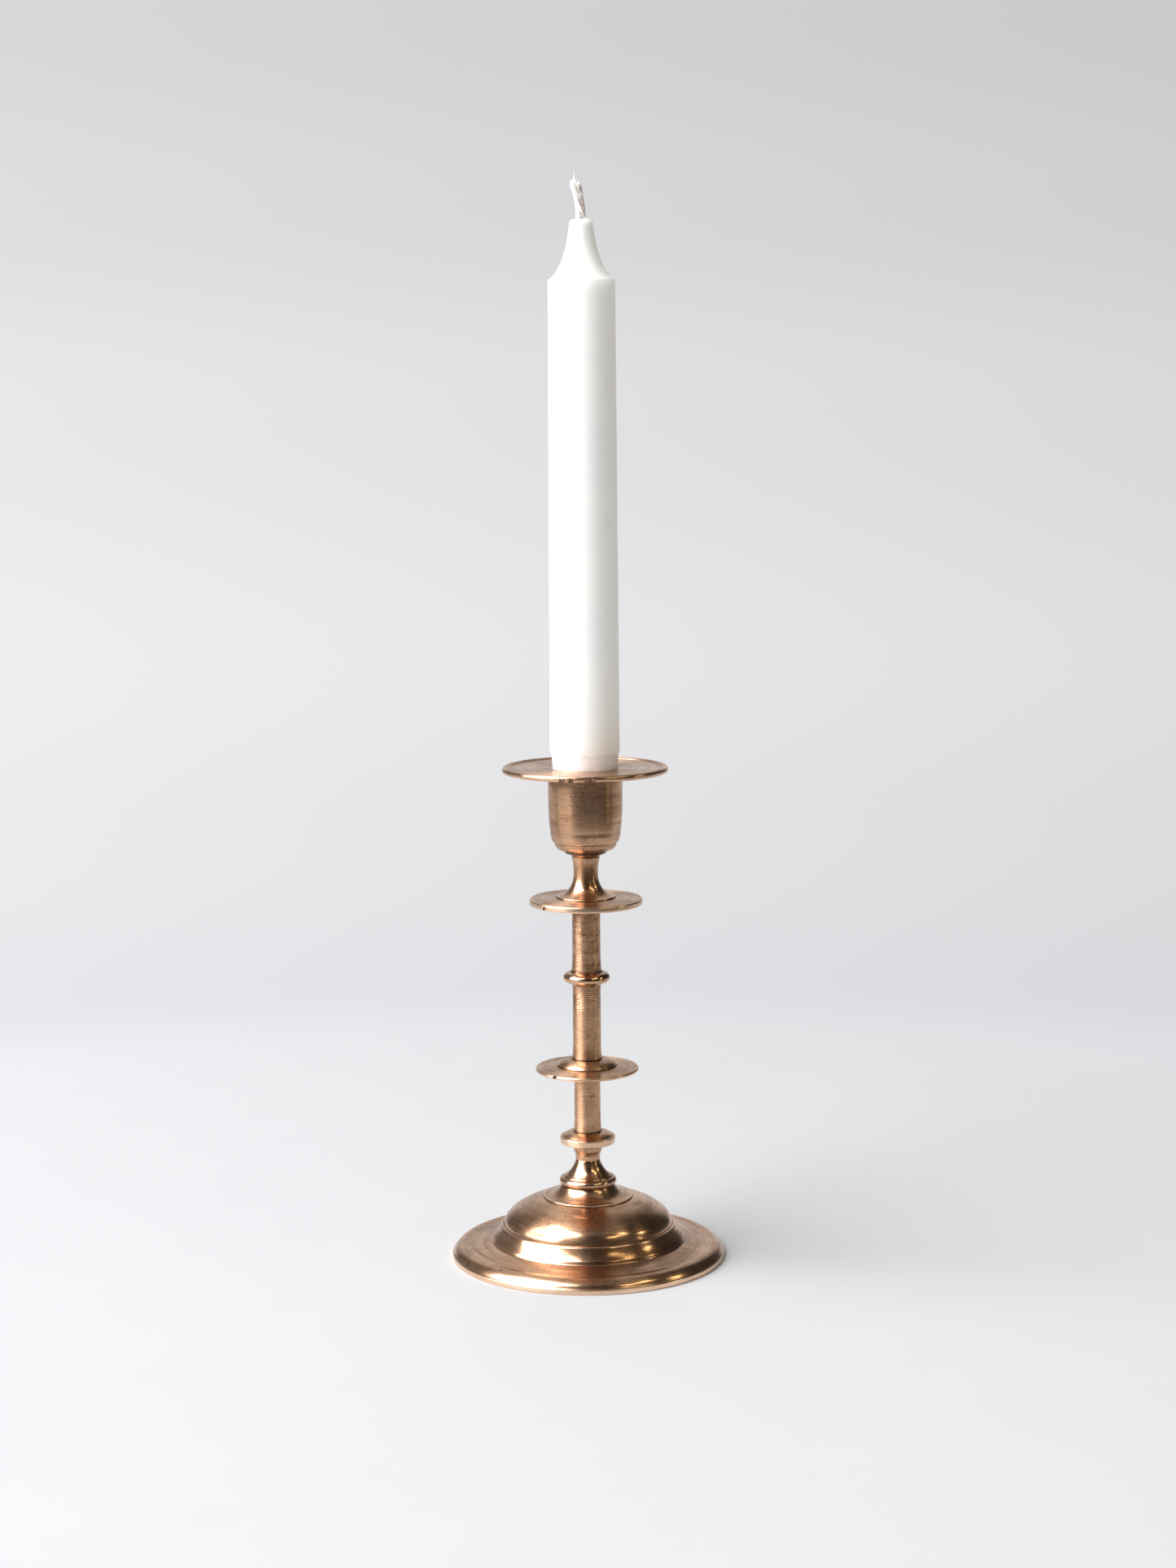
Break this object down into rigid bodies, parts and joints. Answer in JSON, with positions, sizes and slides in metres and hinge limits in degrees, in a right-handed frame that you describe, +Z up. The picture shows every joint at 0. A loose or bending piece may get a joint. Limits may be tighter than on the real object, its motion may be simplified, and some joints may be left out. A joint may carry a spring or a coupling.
{
  "type": "turned bronze candlestick with candle",
  "caption": "Turned bronze candlestick with a domed foot, ringed stem, cup and round drip pan, holding one slim white candle.",
  "frame": {"origin": "centre of the foot's underside, on the surface it stands on", "axes": "+Z up along the stem's axis, -Y towards the viewer, +X to the viewer's right"},
  "size_m": [0.0876, 0.0876, 0.3406],
  "materials": {
    "bronze": "satin turned bronze with light brown patina",
    "dark_washer": "tarnished",
    "steel": "plain",
    "wax": "smooth wax",
    "cotton": "waxed braid"
  },
  "bodies": {
    "holder": {"foot": "bronze", "dome_cap": "bronze", "stem_foot": "bronze", "lower_collar": "bronze", "stem_lower": "bronze", "lower_disc": "bronze", "stem_middle": "bronze", "knop": "bronze", "stem_upper": "bronze", "upper_disc": "bronze", "neck": "bronze", "cup_washer": "dark_washer", "candle_cup": "bronze", "drip_pan": "bronze", "tie_rod": "steel", "cup_nut": "steel", "base_washer": "steel", "lock_washer": "steel", "base_nut": "steel"},
    "candle": {"candle": "wax", "wick": "cotton"}
  },
  "joints": [
    {"name": "candle_lift", "type": "slide", "parent": "holder", "child": "candle", "axis": [0, 0, 1], "range_m": [0, 0.05]}
  ]
}
